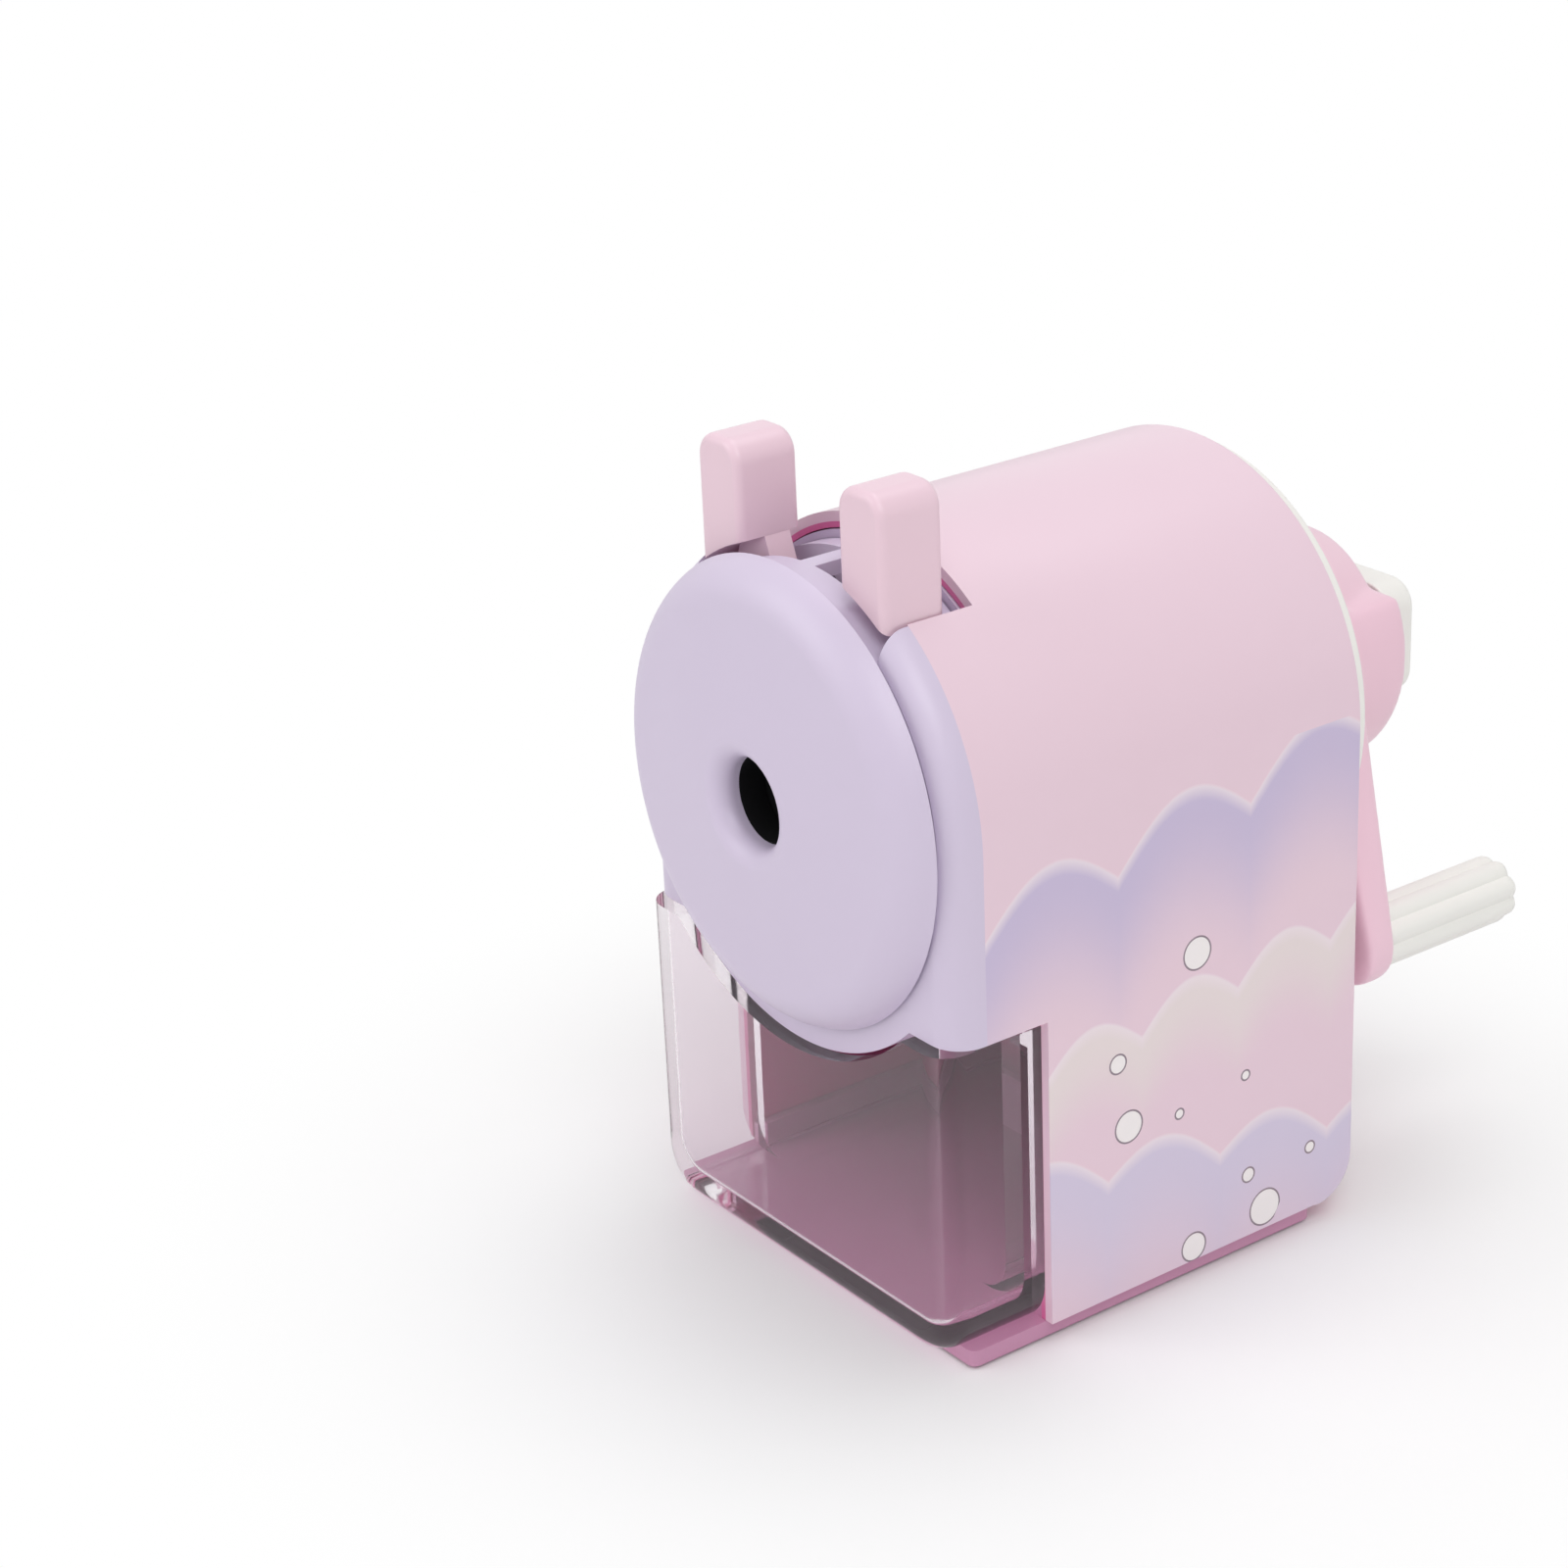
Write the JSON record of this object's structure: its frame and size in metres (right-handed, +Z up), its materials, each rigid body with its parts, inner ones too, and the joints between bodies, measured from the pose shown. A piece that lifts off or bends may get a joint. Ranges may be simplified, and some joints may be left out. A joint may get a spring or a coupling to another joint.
{
  "type": "crank pencil sharpener",
  "caption": "Desk pencil sharpener: arched casing with a round face that slides out, pinch levers and jaws, geared helical cutter, rear crank and clear chip drawer.",
  "frame": {"origin": "middle of the resting face under the base plate", "axes": "+Z up, -Y the way the pencil hole faces, +X to the right of someone who faces the pencil hole"},
  "size_m": [0.0688, 0.1112, 0.118],
  "materials": {
    "shell_pink": "satin moulded plastic",
    "base_pink": "satin moulded plastic",
    "lavender": "satin moulded plastic",
    "lever_pink": "glossy moulded plastic",
    "crank_pink": "glossy moulded plastic",
    "white": "satin moulded plastic",
    "clear": "clear polished plastic",
    "inner_pink": "moulded plastic",
    "black": "soft black",
    "steel": "ground",
    "cutter_steel": "milled",
    "zinc": "die cast",
    "acetal": "moulded",
    "brass": "sintered",
    "pad": "matte"
  },
  "bodies": {
    "body": {"outer_shell": "shell_pink", "base_plate": "base_pink", "anti_slip_pad": "pad", "front_frame": "lavender", "cutter_housing": "inner_pink", "housing_screws": "steel", "rear_ring": "white", "shaft_bush": "brass", "ring_gear": "acetal", "left_feed_spring": "steel", "right_feed_spring": "steel"},
    "crank": {"cutter_carrier": "zinc", "cutter_axle": "steel", "crank_shaft": "steel", "crank_arm": "crank_pink", "crank_nut": "steel", "handle_pin": "steel"},
    "cutter": {"helical_cutter": "cutter_steel", "cutter_pinion": "cutter_steel"},
    "handle": {"handle_grip": "white"},
    "adjuster": {"point_adjuster_knob": "white"},
    "stop": {"stop_rod": "steel"},
    "carriage": {"face_disc": "lavender", "carriage_plate": "lavender", "lever_pivot_pins": "steel", "left_guide_rod": "steel", "right_guide_rod": "steel", "left_rod_clip": "steel", "right_rod_clip": "steel", "lever_spring": "steel"},
    "left_lever": {"left_lever": "lever_pink", "left_jaw": "black"},
    "right_lever": {"right_lever": "lever_pink", "right_jaw": "black"},
    "drawer": {"drawer": "clear"}
  },
  "joints": [
    {"name": "crank_turn", "type": "hinge", "parent": "body", "child": "crank", "pos_m": [0, 0.045, 0.0735], "axis": [0, 1, 0], "continuous": true},
    {"name": "cutter_spin", "type": "hinge", "parent": "crank", "child": "cutter", "pos_m": [0, 0.0561, 0.0735], "axis": [0, 0.9832, -0.1827], "continuous": true},
    {"name": "handle_spin", "type": "hinge", "parent": "crank", "child": "handle", "pos_m": [0.02783, 0.06, 0.03788], "axis": [0, 1, 0], "continuous": true},
    {"name": "point_adjust", "type": "hinge", "parent": "crank", "child": "adjuster", "pos_m": [0, 0.06, 0.0735], "axis": [0, 1, 0], "range_deg": [0, 180]},
    {"name": "stop_slide", "type": "slide", "parent": "crank", "child": "stop", "axis": [0, 1, 0], "range_m": [0, 0.002]},
    {"name": "carriage_slide", "type": "slide", "parent": "body", "child": "carriage", "axis": [0, -1, 0], "range_m": [0, 0.032], "stiffness_N_per_m": 80, "springref_m": -0.02, "deforming": ["left_feed_spring", "right_feed_spring"]},
    {"name": "left_lever_pinch", "type": "hinge", "parent": "carriage", "child": "left_lever", "pos_m": [-0.01, -0.025, 0.091], "axis": [0, 1, 0], "range_deg": [0, 16], "stiffness_Nm_per_rad": 0.5, "springref_deg": -8.59, "deforming": ["lever_spring"]},
    {"name": "right_lever_pinch", "type": "hinge", "parent": "carriage", "child": "right_lever", "pos_m": [0.01, -0.025, 0.091], "axis": [0, -1, 0], "range_deg": [0, 16], "stiffness_Nm_per_rad": 0.5, "springref_deg": -8.59},
    {"name": "drawer_slide", "type": "slide", "parent": "body", "child": "drawer", "axis": [0, -1, 0], "range_m": [0, 0.055]}
  ],
  "couplings": [
    {"joint": "cutter_spin", "follows": "crank_turn", "ratio": -3},
    {"joint": "stop_slide", "follows": "point_adjust", "m_per_rad": 0.00063662},
    {"joint": "right_lever_pinch", "follows": "left_lever_pinch", "ratio": 1}
  ]
}
